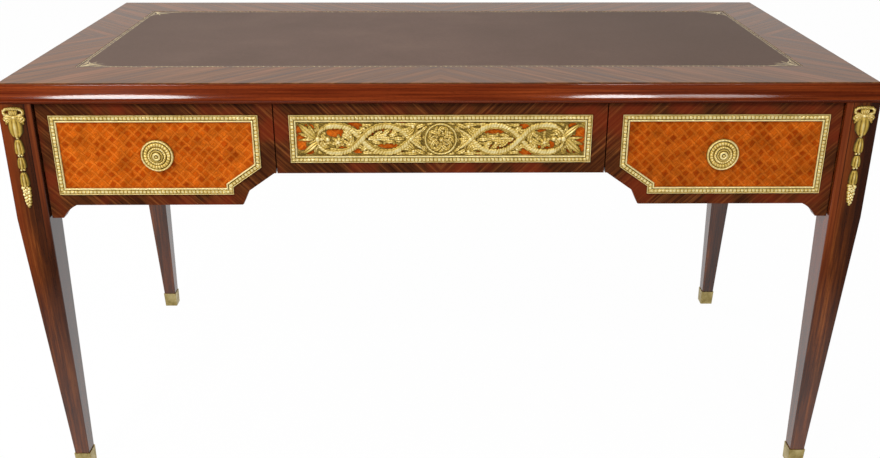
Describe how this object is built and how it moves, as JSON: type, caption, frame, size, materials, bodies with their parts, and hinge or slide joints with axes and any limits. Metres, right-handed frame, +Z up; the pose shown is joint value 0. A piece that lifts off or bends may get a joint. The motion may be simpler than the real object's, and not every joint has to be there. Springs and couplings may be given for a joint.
{
  "type": "writing desk",
  "caption": "Flat-topped writing desk with a leather top, frieze drawers on slides, a canted kneehole, gilt mounts and square tapered legs in gilt shoes.",
  "frame": {"origin": "on the floor under the middle of the desk", "axes": "+X to the right of someone who faces the front, +Y from the front to the back, +Z up"},
  "size_m": [1.5, 0.79, 0.78],
  "materials": {
    "frieze_veneer": "french polished rosewood veneer",
    "moulding_wood": "french polished mahogany",
    "top_veneer": "french polished rosewood veneer",
    "parquetry": "french polished satinwood and kingwood",
    "leather": "gilt tooled hide",
    "ormolu": "gilt bronze",
    "carcase_wood": "plain oak",
    "drawer_lining": "planed oak",
    "steel": "plain"
  },
  "bodies": {
    "desk": {"top_core": "carcase_wood", "writing_leather": "leather", "top_banding_front": "top_veneer", "top_banding_back": "top_veneer", "top_banding_left": "top_veneer", "top_banding_right": "top_veneer", "edge_moulding_front": "moulding_wood", "edge_moulding_back": "moulding_wood", "edge_moulding_left": "moulding_wood", "edge_moulding_right": "moulding_wood", "leg_front_left": "frieze_veneer", "leg_front_right": "frieze_veneer", "leg_back_left": "frieze_veneer", "leg_back_right": "frieze_veneer", "sabot_front_left": "ormolu", "sabot_front_right": "ormolu", "sabot_back_left": "ormolu", "sabot_back_right": "ormolu", "chute_front_left": "ormolu", "chute_front_right": "ormolu", "chute_back_left": "ormolu", "chute_back_right": "ormolu", "side_apron_left": "frieze_veneer", "side_apron_right": "frieze_veneer", "back_apron": "frieze_veneer", "front_rail": "carcase_wood", "kneehole_cheek_left": "frieze_veneer", "kneehole_cheek_right": "frieze_veneer", "drawer_divider_left": "carcase_wood", "drawer_divider_right": "carcase_wood", "drawer_runners": "carcase_wood", "corner_blocks": "carcase_wood", "top_screws": "steel", "side_parquetry": "parquetry", "side_frames": "ormolu", "back_parquetry": "parquetry", "back_frames": "ormolu", "back_rosettes": "ormolu", "back_plaque": "ormolu"},
    "drawer_left": {"drawer_left_front": "frieze_veneer", "drawer_left_sides": "drawer_lining", "drawer_left_back": "drawer_lining", "drawer_left_bottom": "drawer_lining", "drawer_left_parquetry": "parquetry", "drawer_left_frame": "ormolu", "drawer_left_rosette": "ormolu"},
    "drawer_centre": {"drawer_centre_front": "frieze_veneer", "drawer_centre_sides": "drawer_lining", "drawer_centre_back": "drawer_lining", "drawer_centre_bottom": "drawer_lining", "drawer_centre_parquetry": "parquetry", "drawer_centre_frame": "ormolu", "drawer_centre_plaque": "ormolu"},
    "drawer_right": {"drawer_right_front": "frieze_veneer", "drawer_right_sides": "drawer_lining", "drawer_right_back": "drawer_lining", "drawer_right_bottom": "drawer_lining", "drawer_right_parquetry": "parquetry", "drawer_right_frame": "ormolu", "drawer_right_rosette": "ormolu"}
  },
  "joints": [
    {"name": "drawer_left_slide", "type": "slide", "parent": "desk", "child": "drawer_left", "axis": [0, -1, 0], "range_m": [0, 0.4]},
    {"name": "drawer_centre_slide", "type": "slide", "parent": "desk", "child": "drawer_centre", "axis": [0, -1, 0], "range_m": [0, 0.4]},
    {"name": "drawer_right_slide", "type": "slide", "parent": "desk", "child": "drawer_right", "axis": [0, -1, 0], "range_m": [0, 0.4]}
  ]
}
